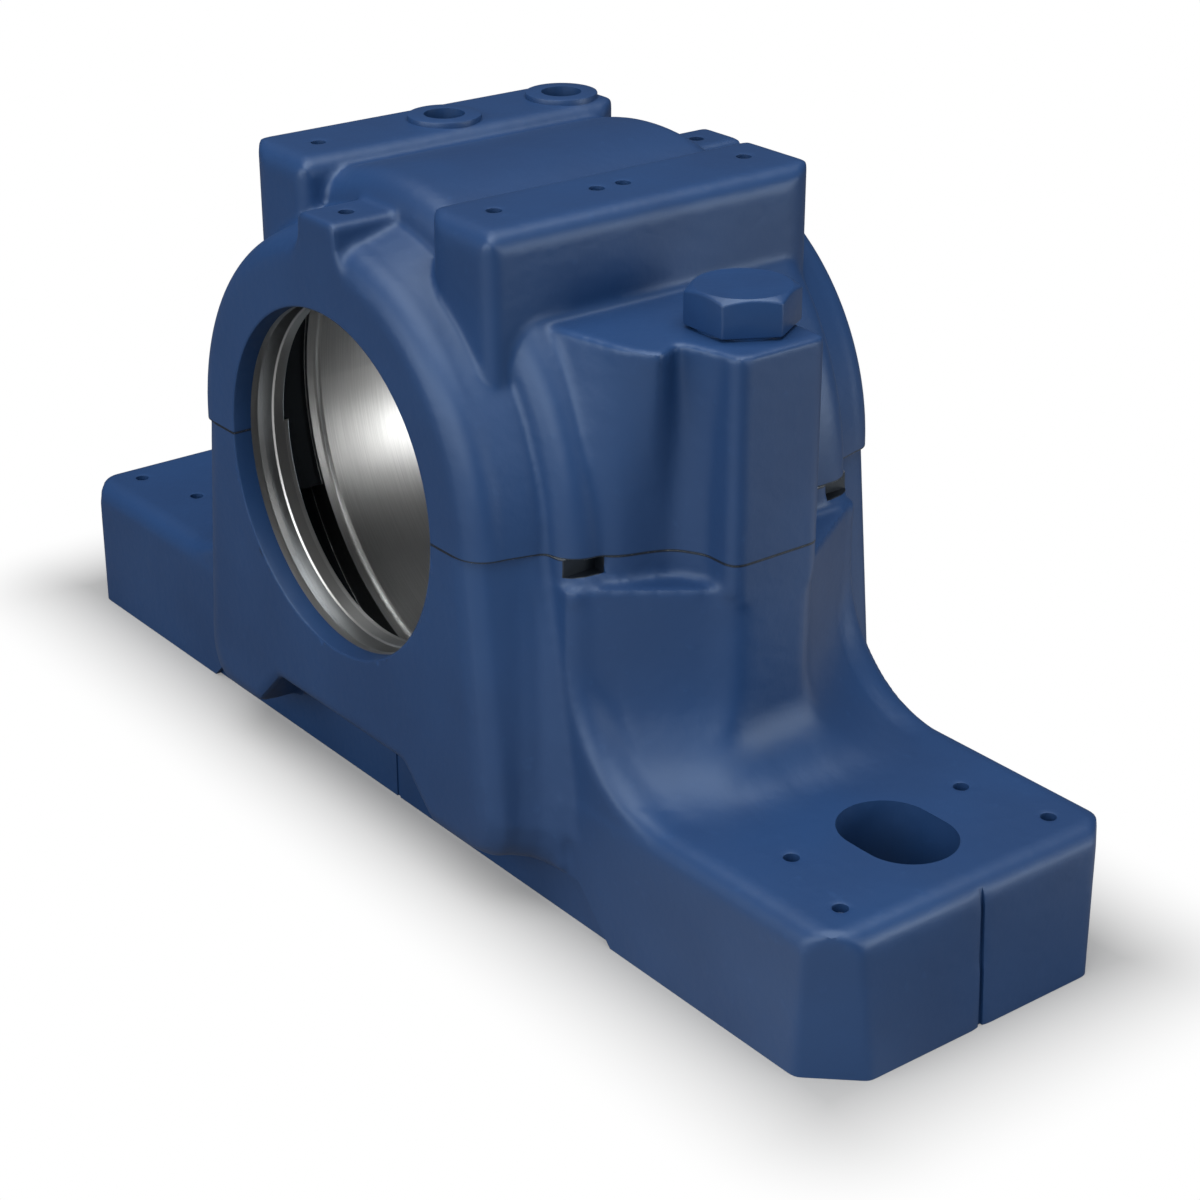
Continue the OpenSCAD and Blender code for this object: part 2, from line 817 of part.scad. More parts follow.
// Raised rings around the two lubrication ports on the left pad.
module port_rings() {
    for (y = [0, port_offset])
        translate([-port_x, y, pad_top - 2])
            cylinder(r = port_ring_diameter / 2, h = 2 + port_ring_height);
}

// Bolt holes, lubrication ports, dowel holes and marks of the cap.
module cap_cuts() {
    both_sides()
        translate([bolt_x, 0, shaft_height - 1])
            cylinder(r = bolt_diameter / 2 + hole_clearance, h = boss_height + 2);
    for (y = [0, port_offset])
        translate([-port_x, y, shaft_height + 20])
            cylinder(r = port_diameter / 2, h = over);
    for (y = [-port_offset, -5.9, 0, port_offset])
        dimple([pad_middle, y, pad_top]);
    dimple([-pad_middle, -port_offset, pad_top]);
    both_ends()
        dimple([0, (half_wall + half_body) / 2, shaft_height + crest_height]);
    dowel_holes();
}

// Hexagon head bolt with a chamfered head, standing on the boss.
module cap_bolt() {
    corner = head_flats / 2 / cos(30);
    translate([0, 0, boss_top + washer_face])
        intersection() {
            linear_extrude(height = head_height)
                polygon([for (i = [0 : 5]) [corner * cos(60 * i), corner * sin(60 * i)]]);
            cylinder(r1 = corner + head_height * 1.732, r2 = head_flats / 2 * 0.95, h = head_height);
        }
    translate([0, 0, boss_top])
        cylinder(r = head_flats / 2 - 0.6, h = washer_face + 0.5);
    translate([0, 0, bolt_end + thread_length])
        cylinder(r = bolt_diameter / 2, h = bolt_length - thread_length + 0.2);
    translate([0, 0, bolt_end + 1])
        cylinder(r = thread_radius - thread_clearance, h = thread_length - 0.5);
    translate([0, 0, bolt_end])
        cylinder(r1 = thread_radius - 1, r2 = thread_radius - thread_clearance, h = 1);
}

module cap_bolt_right() {
    color([0.2, 0.31, 0.49])
        translate([bolt_x, 0, 0]) cap_bolt();
}

module cap_bolt_left() {
    color([0.2, 0.31, 0.49])
        mirror([1, 0, 0])
            translate([bolt_x, 0, 0]) cap_bolt();
}

// Hardened dowel pin with chamfered ends.
module dowel_pin() {
    radius = dowel_diameter / 2;
    cylinder(r = radius, h = dowel_length - 1, center = true);
    translate([0, 0, dowel_length / 2 - 0.5])
        cylinder(r1 = radius, r2 = radius - 0.5, h = 0.5);
    translate([0, 0, -dowel_length / 2])
        cylinder(r1 = radius - 0.5, r2 = radius, h = 0.5);
}

module dowel_pin_right() {
    color([0.7, 0.7, 0.72])
        translate([dowel_x, -dowel_y, shaft_height]) dowel_pin();
}

module dowel_pin_left() {
    color([0.7, 0.7, 0.72])
        translate([-dowel_x, dowel_y, shaft_height]) dowel_pin();
}
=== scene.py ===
# Split plummer block housing: painted castings, machined bores, bolts and pins.
import math
import bmesh
import bpy
from mathutils import Matrix, Vector


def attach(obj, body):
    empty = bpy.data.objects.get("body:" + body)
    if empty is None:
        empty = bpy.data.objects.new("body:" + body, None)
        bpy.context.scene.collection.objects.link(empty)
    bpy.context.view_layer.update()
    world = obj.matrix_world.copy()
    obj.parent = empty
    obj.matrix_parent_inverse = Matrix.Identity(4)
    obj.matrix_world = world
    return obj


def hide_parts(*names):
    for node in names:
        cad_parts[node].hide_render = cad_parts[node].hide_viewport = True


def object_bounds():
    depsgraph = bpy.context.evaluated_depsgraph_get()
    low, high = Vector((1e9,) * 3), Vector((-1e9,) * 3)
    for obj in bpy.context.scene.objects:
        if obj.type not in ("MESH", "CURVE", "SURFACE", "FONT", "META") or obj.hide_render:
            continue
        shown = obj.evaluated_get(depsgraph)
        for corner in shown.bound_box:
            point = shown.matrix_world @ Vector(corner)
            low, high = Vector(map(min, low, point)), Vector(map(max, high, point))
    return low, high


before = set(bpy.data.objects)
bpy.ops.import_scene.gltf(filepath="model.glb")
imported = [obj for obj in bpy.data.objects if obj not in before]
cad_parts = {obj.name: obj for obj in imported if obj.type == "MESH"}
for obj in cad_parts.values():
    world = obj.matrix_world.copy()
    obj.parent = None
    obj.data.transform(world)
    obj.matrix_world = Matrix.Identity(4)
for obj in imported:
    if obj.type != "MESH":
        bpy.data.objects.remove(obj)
cadBox = [list(corner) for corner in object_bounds()]
mm = 0.001
axisHeight = 0.070
print("frame loaded")

# camera at the photograph's place and angle, with the lens in millimetres
cameraSet = {
    "place": (0.382076, -0.279661, 0.254018),
    "azimuth": 52.2083,
    "elevation": 24.9974,
    "lens": 78.29,
}


def makeCamera(s):
    a, e = math.radians(s["azimuth"]), math.radians(s["elevation"])
    right = Vector((math.cos(a), math.sin(a), 0))
    back = Vector((math.sin(a) * math.cos(e), -math.cos(a) * math.cos(e), math.sin(e)))
    up = back.cross(right)
    data = bpy.data.cameras.new("camera")
    data.sensor_width = 36
    data.lens = s["lens"]
    data.clip_start, data.clip_end = 0.01, 20
    camera = bpy.data.objects.new("camera", data)
    turn = Matrix((right, up, back)).transposed().to_4x4()
    camera.matrix_world = Matrix.Translation(s["place"]) @ turn
    bpy.context.scene.collection.objects.link(camera)
    bpy.context.scene.camera = camera


makeCamera(cameraSet)
print("camera placed")


# mesh helpers: every finished mesh holds its own place

def addObject(name, bm):
    mesh = bpy.data.meshes.new(name)
    bm.to_mesh(mesh)
    bm.free()
    thing = bpy.data.objects.new(name, mesh)
    bpy.context.scene.collection.objects.link(thing)
    return thing


def applyAll(thing):
    shot = bpy.context.evaluated_depsgraph_get()
    mesh = bpy.data.meshes.new_from_object(thing.evaluated_get(shot))
    old = thing.data
    thing.modifiers.clear()
    thing.data = mesh
    bpy.data.meshes.remove(old)


def combine(thing, tool, how):
    cut = thing.modifiers.new("cut", "BOOLEAN")
    cut.operation = how
    cut.solver = "MANIFOLD"
    cut.object = tool
    bpy.context.view_layer.update()
    applyAll(thing)
    mesh = tool.data
    bpy.data.objects.remove(tool)
    bpy.data.meshes.remove(mesh)


def joinAll(tools):
    whole = tools[0]
    for tool in tools[1:]:
        combine(whole, tool, "UNION")
    return whole


def block(low, high):
    bm = bmesh.new()
    bmesh.ops.create_cube(bm, size=1)
    size = [h - l for l, h in zip(low, high)]
    bmesh.ops.scale(bm, vec=Vector(size) * mm, verts=bm.verts)
    middle = Vector([(l + h) / 2 for l, h in zip(low, high)]) * mm
    bmesh.ops.translate(bm, vec=middle, verts=bm.verts)
    return addObject("block", bm)


def slab(low, high):
    # wider than the castings, between two heights
    return block((-140, -60, low), (140, 60, high))


def sidePlate(side, start, end, way, near, far, low, high):
    # a block on one side of the shaft (x) and on one way along it (y)
    x, y = sorted((side * start, side * end)), sorted((way * near, way * far))
    return block((x[0], y[0], low), (x[1], y[1], high))


def rod(x, y, low, high, radius):
    bm = bmesh.new()
    bmesh.ops.create_cone(bm, cap_ends=True, segments=64, radius1=radius * mm,
                          radius2=radius * mm, depth=(high - low) * mm)
    bmesh.ops.translate(bm, vec=Vector((x, y, (low + high) / 2)) * mm, verts=bm.verts)
    return addObject("rod", bm)


def drilled(x, y, top, radius, depth):
    # a round mark with a drill's pointed end
    bm = bmesh.new()
    bmesh.ops.create_cone(bm, cap_ends=True, segments=32, radius1=radius * 0.25 * mm,
                          radius2=radius * mm, depth=radius * 0.7 * mm)
    face = [f for f in bm.faces if all(v.co.z > 0 for v in f.verts)]
    wall = bmesh.ops.extrude_face_region(bm, geom=face)
    moved = [g for g in wall["geom"] if isinstance(g, bmesh.types.BMVert)]
    bmesh.ops.translate(bm, vec=(0, 0, (depth + 0.4) * mm), verts=moved)
    bmesh.ops.delete(bm, geom=[f for f in face if f.is_valid], context="FACES_ONLY")
    bmesh.ops.recalc_face_normals(bm, faces=bm.faces)
    place = Vector((x, y, top - depth - radius * 0.35)) * mm
    bmesh.ops.translate(bm, vec=place, verts=bm.verts)
    return addObject("drilled", bm)


def slotBar(x, low, high, width, length):
    # a circle pulled apart along x and raised
    bm = bmesh.new()
    bmesh.ops.create_circle(bm, cap_ends=True, segments=64, radius=width / 2 * mm)
    shift = (length - width) / 2 * mm
    for v in bm.verts:
        v.co.x += math.copysign(shift, v.co.x) if abs(v.co.x) > 1e-7 else 0
    for v in [v for v in bm.verts if abs(v.co.x) <= 1e-7]:
        v.co.x = 0
    face = bmesh.ops.extrude_face_region(bm, geom=bm.faces[:])
    moved = [g for g in face["geom"] if isinstance(g, bmesh.types.BMVert)]
    bmesh.ops.translate(bm, vec=(0, 0, (high - low) * mm), verts=moved)
    bmesh.ops.translate(bm, vec=(x * mm, 0, low * mm), verts=bm.verts)
    bmesh.ops.recalc_face_normals(bm, faces=bm.faces)
    return addObject("slotBar", bm)


def plate(outline, low, high):
    # a flat outline of (x, z) points, mirrored in x and extruded along y
    bm = bmesh.new()
    ring = [(x, z) for x, z in outline] + [(-x, z) for x, z in reversed(outline)]
    face = bm.faces.new([bm.verts.new((x * mm, low * mm, z * mm)) for x, z in ring])
    wall = bmesh.ops.extrude_face_region(bm, geom=[face])
    moved = [g for g in wall["geom"] if isinstance(g, bmesh.types.BMVert)]
    bmesh.ops.translate(bm, vec=(0, (high - low) * mm, 0), verts=moved)
    bmesh.ops.recalc_face_normals(bm, faces=bm.faces)
    return addObject("plate", bm)


def turned(profile, steps=160):
    # profile of (radius, y) points, closed onto the shaft's axis
    bm = bmesh.new()
    rows = [bm.verts.new((r * mm, y * mm, axisHeight)) for r, y in profile]
    for a, b in zip(rows, rows[1:]):
        bm.edges.new((a, b))
    bmesh.ops.spin(bm, geom=bm.verts[:] + bm.edges[:], cent=(0, 0, axisHeight),
                   axis=(0, 1, 0), angle=math.tau, steps=steps, use_merge=True)
    bmesh.ops.remove_doubles(bm, verts=bm.verts, dist=1e-7)
    bmesh.ops.recalc_face_normals(bm, faces=bm.faces)
    return addObject("turned", bm)


def mirroredProfile(half):
    return half + [(r, -y) for r, y in reversed(half)]


def mergedCopy(node):
    bm = bmesh.new()
    bm.from_mesh(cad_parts[node].data)
    bmesh.ops.remove_doubles(bm, verts=bm.verts, dist=1e-6)
    return addObject(node + "Copy", bm)


def growFlat(thing, height, reach):
    # pushes the flat faces at one height out, so that a later cut leaves a crisp edge
    bm = bmesh.new()
    bm.from_mesh(thing.data)
    flat = [f for f in bm.faces if all(abs(v.co.z - height * mm) < 2e-6 for v in f.verts)]
    grown = bmesh.ops.extrude_face_region(bm, geom=flat)
    moved = [g for g in grown["geom"] if isinstance(g, bmesh.types.BMVert)]
    bmesh.ops.translate(bm, vec=(0, 0, reach * mm), verts=moved)
    bmesh.ops.delete(bm, geom=flat, context="FACES_ONLY")
    bm.to_mesh(thing.data)
    bm.free()


def thin(thing, share):
    # keeps this share of the triangles
    fewer = thing.modifiers.new("fewer", "DECIMATE")
    fewer.decimate_type = "COLLAPSE"
    fewer.ratio = share
    applyAll(thing)


def castSkin(thing, voxel, passes, softer):
    # rounds every edge as sand casting does, and more inside the softer boxes
    remesh = thing.modifiers.new("skin", "REMESH")
    remesh.mode = "VOXEL"
    remesh.voxel_size = voxel * mm
    applyAll(thing)
    bm = bmesh.new()
    bm.from_mesh(thing.data)
    for _ in range(passes):
        bmesh.ops.smooth_vert(bm, verts=bm.verts, factor=0.5,
                              use_axis_x=True, use_axis_y=True, use_axis_z=True)
    for low, high, count in softer:
        inside = [v for v in bm.verts
                  if low[0] <= abs(v.co.x / mm) <= high[0]
                  and low[1] <= abs(v.co.y / mm) <= high[1]
                  and low[2] <= v.co.z / mm <= high[2]]
        for _ in range(count):
            bmesh.ops.smooth_vert(bm, verts=inside, factor=0.5,
                                  use_axis_x=True, use_axis_y=True, use_axis_z=True)
    bm.to_mesh(thing.data)
    bm.free()


def finishMesh(thing, sharp):
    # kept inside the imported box, shaded smooth with its sharp edges marked
    bm = bmesh.new()
    bm.from_mesh(thing.data)
    bmesh.ops.remove_doubles(bm, verts=bm.verts, dist=1e-7)
    for v in bm.verts:
        for i in range(3):
            v.co[i] = min(max(v.co[i], cadBox[0][i]), cadBox[1][i])
    for face in bm.faces:
        face.smooth = True
    limit = math.radians(sharp)
    for edge in bm.edges:
        edge.smooth = not (edge.is_manifold and edge.calc_face_angle(0) > limit)
    bm.to_mesh(thing.data)
    bm.free()


# the inside that both castings share, in millimetres

bore = {
    "seatRadius": 50, "seatHalf": 17.1, "reliefRadius": 51, "reliefHalf": 19.4,
    "cavityRadius": 52, "cavityHalf": 27.5, "coneRadius": 44, "lipRadius": 33.35,
    "grooveRadius": 37.2, "grooveStart": 38.3, "grooveEnd": 41.5, "face": 47.1,
    "edge": 0.3,
    "filling": [(0, 47.1), (34.2, 47.1), (34.2, 46), (38.4, 42.6), (38.4, 37), (45.6, 35.2),
                (53.4, 28.2)],
    "fillingSteps": 96,
}


def insideProfile(s, lipStart):
    e, lip, face = s["edge"], s["lipRadius"], s["face"]
    return mirroredProfile([
        (0, face + 2), (lip + e * 1.4, face + 2), (lip + e * 1.4, face),
        (lip + e * 0.4, face - e * 0.4), (lip, face - e * 1.4),
        (lip, s["grooveEnd"] + e), (lip + e, s["grooveEnd"]),
        (s["grooveRadius"], s["grooveEnd"]), (s["grooveRadius"], s["grooveStart"]),
        (lip + e, s["grooveStart"]), (lip, s["grooveStart"] - e),
        (lip, lipStart + e), (lip + e, lipStart),
        (s["coneRadius"], lipStart), (s["cavityRadius"], s["cavityHalf"]),
        (s["cavityRadius"], s["reliefHalf"]), (s["reliefRadius"], s["reliefHalf"]),
        (s["reliefRadius"], s["seatHalf"]), (s["seatRadius"] + e, s["seatHalf"]),
        (s["seatRadius"], s["seatHalf"] - e),
    ])


def filling():
    # closes the bore while the skin is made, so that no inner edge is rounded
    return turned(mirroredProfile(bore["filling"]), bore["fillingSteps"])


def sumpRing(radius, start, end, steps=160):
    return turned([(0, end), (radius, end), (radius, start), (0, start)], steps)


# housing base, in millimetres

base = {
    "voxel": 0.8, "passes": 3, "keep": 0.62, "sharp": 32,
    "top": 70.0, "footTop": 28, "footEnd": 127.5, "footSide": 35, "draft": 1.5 / 23.8,
    "slot": (105, 18, 23), "boltX": 61.2, "threadRadius": 5.43, "threadLow": 42.9,
    "dowel": (41.8, 39.9, 2.52), "dowelLow": 61.5,
    "sumpRadius": 57, "sumpHalf": 28.2, "sumpTop": 48, "lipStart": 34.6,
    "dimples": [(100.2, 20.1), (117.2, 24.5)], "mark": 1.45, "markDepth": 1.8,
    "pry": (53.6, 26.1, 3.2), "pryReach": (120, 50),
    "endLine": ((-0.8, -0.5, 0), (1.5, 0.5, 27)), "sideLine": (0.5, 34.9, 1.4, 14),
    "recess": [(70.5, -1), (69.5, 0), (60, 9.5), (34.2, 9.5), (22, 21.7)],
    "recessDeep": (33.8, 35.3), "sideFill": (76, 30, 20), "sideLean": 0.021,
    "corner": ((36, 56.5), (30, 36.3), (10.4, 24.6)),
    "softer": [
        ((55, 12, 29), (90, 33.5, 62.5), 16),
        ((60, 5, 27.6), (98, 26, 62.5), 40),
    ],
}


def makeSideFill(s):
    # fills the recess in the foot's sides, which is cut again after the skin
    reach, inner, top = s["sideFill"]
    side = s["footSide"]
    fill = block((-reach, -side, 0), (reach, side, top))
    bm = bmesh.new()
    bm.from_mesh(fill.data)
    for v in bm.verts:
        if v.co.z > top / 2 * mm:
            v.co.y *= (side - top * s["sideLean"]) / side
    bm.to_mesh(fill.data)
    bm.free()
    combine(fill, block((-reach - 4, -inner, -1), (reach + 4, inner, top + 1)), "DIFFERENCE")
    return fill


def makeBase(s):
    body = mergedCopy("housing_base")
    x, width, length = s["slot"]
    dowelX, dowelY, dowelRadius = s["dowel"]
    sumpFill = sumpRing(s["sumpRadius"] + 0.5, -s["sumpHalf"], s["sumpHalf"], bore["fillingSteps"])
    combine(sumpFill, slab(s["sumpTop"] + 1, 130), "DIFFERENCE")
    plugs = [filling(), sumpFill]
    for side in (-1, 1):
        plugs.append(slotBar(side * x, 0, s["footTop"], width + 1, length + 1))
        plugs.append(rod(side * s["boltX"], 0, s["threadLow"] - 4.9, s["top"], 6.2))
        plugs.append(rod(side * dowelX, -side * dowelY, s["dowelLow"] - 3.5, s["top"], 3))
        for way in (-1, 1):
            across, along, height = s["corner"]
            plugs.append(sidePlate(side, *across, way, *along, *height))
    combine(body, makeSideFill(s), "UNION")
    combine(body, joinAll(plugs), "UNION")
    combine(body, slab(s["top"], 140), "DIFFERENCE")
    growFlat(body, s["top"], 4)
    growFlat(body, 0, -4)
    castSkin(body, s["voxel"], s["passes"], s["softer"])
    print("base skin", len(body.data.vertices))
    thin(body, s["keep"])
    combine(body, slab(s["top"], 140), "DIFFERENCE")
    combine(body, slab(-20, 0), "DIFFERENCE")
    inside = turned(insideProfile(bore, s["lipStart"]))
    sump = joinAll([sumpRing(s["sumpRadius"], bore["reliefHalf"], bore["cavityHalf"]),
                    sumpRing(s["sumpRadius"], -bore["cavityHalf"], -bore["reliefHalf"])])
    combine(sump, slab(s["sumpTop"], 130), "DIFFERENCE")
    combine(inside, sump, "UNION")
    combine(body, inside, "DIFFERENCE")
    cuts = []
    for side in (-1, 1):
        cuts.append(slotBar(side * x, -1, s["footTop"] + 1, width, length))
        cuts.append(rod(side * s["boltX"], 0, s["threadLow"], s["top"] + 1, s["threadRadius"]))
        cuts.append(rod(side * dowelX, -side * dowelY, s["dowelLow"], s["top"] + 1, dowelRadius))
        # the upright line on the foot's end leans with the end's draft
        line = block(*s["endLine"])
        line.data.transform(Matrix.Translation((side * s["footEnd"] * mm, 0, 0)) @
                            Matrix.Shear("XY", 4, (side * -s["draft"], 0)) @
                            Matrix.Scale(side, 4, (1, 0, 0)))
        if side < 0:
            line.data.flip_normals()
        cuts.append(line)
        half, at, deep, top = s["sideLine"]
        cuts.append(block((-half, side * at - deep, -1), (half, side * at + deep, top)))
        for way in (-1, 1):
            for dx, dy in s["dimples"]:
                cuts.append(drilled(side * dx, way * dy, s["footTop"], s["mark"], s["markDepth"]))
            across, along, deep = s["pry"]
            cuts.append(sidePlate(side, across, s["pryReach"][0], way, along, s["pryReach"][1],
                                  s["top"] - deep, s["top"] + 1))
    for way in (-1, 1):
        cuts.append(plate(s["recess"], *sorted(way * y for y in s["recessDeep"])))
    for cutter in cuts:
        combine(body, cutter, "DIFFERENCE")
    finishMesh(body, s["sharp"])
    body.name = "castBase"
    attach(body, "root")
    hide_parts("housing_base")
    print("base made", len(body.data.polygons))
    return body


# housing cap, in millimetres

cap = {
    "voxel": 0.6, "passes": 5, "keep": 0.5, "sharp": 32,
    "low": 70.0, "bossTop": 107.9, "boltX": 61.2, "holeRadius": 6.75, "lipStart": 35.6,
    "dowel": (41.8, 39.9, 2.52), "dowelTop": 78.5,
    "padTop": 125.6, "portX": 27.5, "portY": (0, 28.2), "portRadius": 4, "portLow": 90,
    "ringRadius": 7.2, "ringTop": 126.6, "ringDeep": 3.2, "ringEase": 0.25,
    "crestMark": (40.35, 121), "mark": 1.45, "markDepth": 1.8,
    "marks": [(28.1, -28.2), (28.1, -5.9), (28.1, 0), (28.1, 28.2), (-28.1, -28.2)],
    "softer": [
        ((40, 13, 71), (61, 33, 106), 6),
    ],
}


def makePortRing(s, y):
    bm = bmesh.new()
    bmesh.ops.create_cone(bm, cap_ends=True, segments=96, radius1=s["ringRadius"] * mm,
                          radius2=s["ringRadius"] * mm, depth=s["ringDeep"] * mm)
    place = Vector((-s["portX"], y, s["ringTop"] - s["ringDeep"] / 2)) * mm
    bmesh.ops.translate(bm, vec=place, verts=bm.verts)
    rim = [e for e in bm.edges if all(v.co.z > (s["ringTop"] - 0.1) * mm for v in e.verts)]
    bmesh.ops.bevel(bm, geom=rim, offset=s["ringEase"] * mm, offset_type="OFFSET", segments=2,
                    profile=0.5, affect="EDGES", material=-1)
    return addObject("portRing", bm)


def makeCap(s):
    body = mergedCopy("housing_cap")
    dowelX, dowelY, dowelRadius = s["dowel"]
    plugs = [filling()]
    for side in (-1, 1):
        plugs.append(rod(side * s["boltX"], 0, s["low"], s["bossTop"], s["holeRadius"] + 0.6))
        plugs.append(rod(side * dowelX, -side * dowelY, s["low"], s["dowelTop"] + 1.5, 3))
    for y in s["portY"]:
        plugs.append(rod(-s["portX"], y, 100, s["ringTop"], s["portRadius"] + 0.5))
    combine(body, joinAll(plugs), "UNION")
    combine(body, slab(-10, s["low"]), "DIFFERENCE")
    reach = s["ringRadius"] + 0.6
    for y in s["portY"]:
        combine(body, block((-s["portX"] - reach, y - reach, s["padTop"]),
                            (-s["portX"] + reach, y + reach, 135)), "DIFFERENCE")
    growFlat(body, s["low"], -4)
    castSkin(body, s["voxel"], s["passes"], s["softer"])
    print("cap skin", len(body.data.vertices))
    thin(body, s["keep"])
    combine(body, slab(-10, s["low"]), "DIFFERENCE")
    for y in s["portY"]:
        combine(body, makePortRing(s, y), "UNION")
    combine(body, turned(insideProfile(bore, s["lipStart"])), "DIFFERENCE")
    cuts = []
    crestY, crestTop = s["crestMark"]
    for side in (-1, 1):
        cuts.append(rod(side * s["boltX"], 0, s["low"] - 1, s["bossTop"] + 2.1, s["holeRadius"]))
        cuts.append(rod(side * dowelX, -side * dowelY, s["low"] - 1, s["dowelTop"], dowelRadius))
        cuts.append(drilled(0, side * crestY, crestTop, s["mark"], s["markDepth"]))
    for y in s["portY"]:
        cuts.append(rod(-s["portX"], y, s["portLow"], s["ringTop"] + 3.4, s["portRadius"]))
    for px, py in s["marks"]:
        cuts.append(drilled(px, py, s["padTop"], s["mark"], s["markDepth"]))
    for cutter in cuts:
        combine(body, cutter, "DIFFERENCE")
    finishMesh(body, s["sharp"])
    body.name = "castCap"
    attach(body, "root")
    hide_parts("housing_cap")
    print("cap made", len(body.data.polygons))
    return body


castBase = makeBase(base)
castCap = makeCap(cap)


# cap bolts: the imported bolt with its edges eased

bolt = {"ease": 0.35, "segments": 3, "sharp": 30, "headLow": 108.3, "flat": 2, "shading": 25}


def makeBolt(node, name, s):
    piece = mergedCopy(node)
    bm = bmesh.new()
    bm.from_mesh(piece.data)
    bmesh.ops.dissolve_limit(bm, angle_limit=math.radians(s["flat"]), verts=bm.verts,
                             edges=bm.edges)
    limit = math.radians(s["sharp"])
    edges = [e for e in bm.edges if e.is_manifold and e.calc_face_angle(0) > limit
             and min(v.co.z for v in e.verts) > s["headLow"] * mm]
    bmesh.ops.bevel(bm, geom=edges, offset=s["ease"] * mm, offset_type="OFFSET",
                    segments=s["segments"], profile=0.5, affect="EDGES", material=-1)
    bm.to_mesh(piece.data)
    bm.free()
    finishMesh(piece, s["shading"])
    piece.name = name
    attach(piece, "root")
    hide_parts(node)
    return piece


boltRight = makeBolt("cap_bolt_right", "hexBoltRight", bolt)
boltLeft = makeBolt("cap_bolt_left", "hexBoltLeft", bolt)
print("bolts made")


# materials

class Link:
    # wraps a socket so that shader maths reads as plain sums
    def __init__(self, paint, socket):
        self.paint, self.socket = paint, socket

    def sum(self, how, *others):
        return self.paint.node("ShaderNodeMath", {"operation": how}, [self, *others])

    def __add__(self, o):
        return self.sum("ADD", o)

    def __radd__(self, o):
        return self.sum("ADD", o)

    def __sub__(self, o):
        return self.sum("SUBTRACT", o)

    def __rsub__(self, o):
        return self.paint.node("ShaderNodeMath", {"operation": "SUBTRACT"}, [o, self])

    def __mul__(self, o):
        return self.sum("MULTIPLY", o)

    def __rmul__(self, o):
        return self.sum("MULTIPLY", o)

    def __lt__(self, o):
        return self.sum("LESS_THAN", o)

    def __gt__(self, o):
        return self.sum("GREATER_THAN", o)

    def size(self):
        return self.sum("ABSOLUTE")

    def root(self):
        return self.sum("SQRT")

    def either(self, o):
        return self.sum("MAXIMUM", o)

    def both(self, o):
        return self.sum("MINIMUM", o)

    def between(self, span):
        return (self > span[0]) * (self < span[1])

    def ramp(self, low, high, toLow=0.0, toHigh=1.0):
        return self.paint.node("ShaderNodeMapRange", {"interpolation_type": "SMOOTHSTEP"},
                               {"Value": self, "From Min": low, "From Max": high,
                                "To Min": toLow, "To Max": toHigh})


class Paint:
    # one node-maker for each material, and for the world
    def __init__(self, name, owner=None):
        self.material = owner or bpy.data.materials.new(name)
        self.material.use_nodes = True
        self.tree = self.material.node_tree
        self.tree.nodes.clear()
        self.place = self.node("ShaderNodeTexCoord", {}, {}, "Object")

    def node(self, kind, settings, sockets, out=0):
        made = self.tree.nodes.new(kind)
        for key, value in settings.items():
            setattr(made, key, value)
        pairs = sockets.items() if isinstance(sockets, dict) else enumerate(sockets)
        for key, value in pairs:
            target = made.inputs[key]
            if isinstance(value, Link):
                self.tree.links.new(value.socket, target)
            else:
                target.default_value = value
        return Link(self, made.outputs[out]) if made.outputs else None

    def noise(self, scale, detail=3.0, rough=0.5, stretch=(1, 1, 1)):
        where = self.node("ShaderNodeMapping", {}, {"Vector": self.place, "Scale": stretch})
        return self.node("ShaderNodeTexNoise", {}, {"Vector": where, "Scale": scale,
                                                    "Detail": detail, "Roughness": rough}, "Fac")

    def blend(self, mask, first, second):
        # a colour mix: its factor and its two colours are sockets 0, 6 and 7
        return self.node("ShaderNodeMix", {"data_type": "RGBA", "clamp_factor": True},
                         {0: mask, 6: first, 7: second}, 2)

    def finish(self, settings, bump, strength, distance):
        normal = self.node("ShaderNodeBump", {}, {"Height": bump, "Strength": strength,
                                                  "Distance": distance})
        shader = self.node("ShaderNodeBsdfPrincipled", {}, settings | {"Normal": normal})
        self.node("ShaderNodeOutputMaterial", {}, [shader])
        return self.material


def grey(level):
    return (level, level, level, 1.0)


def colour(r, g, b):
    # an sRGB triple as the linear colour that the shader takes
    parts = [c / 255 for c in (r, g, b)]
    return tuple(c / 12.92 if c <= 0.04 else ((c + 0.055) / 1.055) ** 2.4 for c in parts) + (1.0,)


# colours in sRGB, and the places of the bare and dark zones in metres
casting = {
    "paint": (27, 56, 97), "paintDeep": (23, 50, 89), "paintWorn": (35, 65, 107),
    # the lip's metal colour is a darker copy of the bare metal: painted shade
    "metal": (222, 222, 220), "metalLipShade": (186, 186, 185), "metalDark": (190, 190, 188),
    "cavity": (20, 21, 23), "gapShade": (6, 10, 18),
    "paintRough": 0.46, "metalRough": 0.38, "boltRough": 0.40, "shine": 0.52,
    "shineTint": (0.72, 0.86, 1.0),
    "cone": (0.0530, 0.0275, 0.988), "wide": (0.0535, 0.0357), "narrow": (0.0378, 0.0432),
    # the cavity zone's near-black colour is painted shade
    "sump": (0.0576, 0.0282, 0.0485), "cavityStart": 0.01945, "cavityRadius": 0.0338,
    # the seam band and the pry pocket take the dark gap colour, which is painted shade
    "seatHalf": 0.01712, "seamShade": (0.00012, 0.00036), "shankTop": 0.1079,
    "pryShade": ((0.0534, 0.0562), (0.0260, 0.0340), (0.0667, 0.0701)),
}


def surface(s, base, metallic, rough):
    return {"Base Color": base, "Metallic": metallic, "Roughness": rough, "IOR": 1.5,
            "Specular IOR Level": s["shine"], "Specular Tint": s["shineTint"] + (1,)}


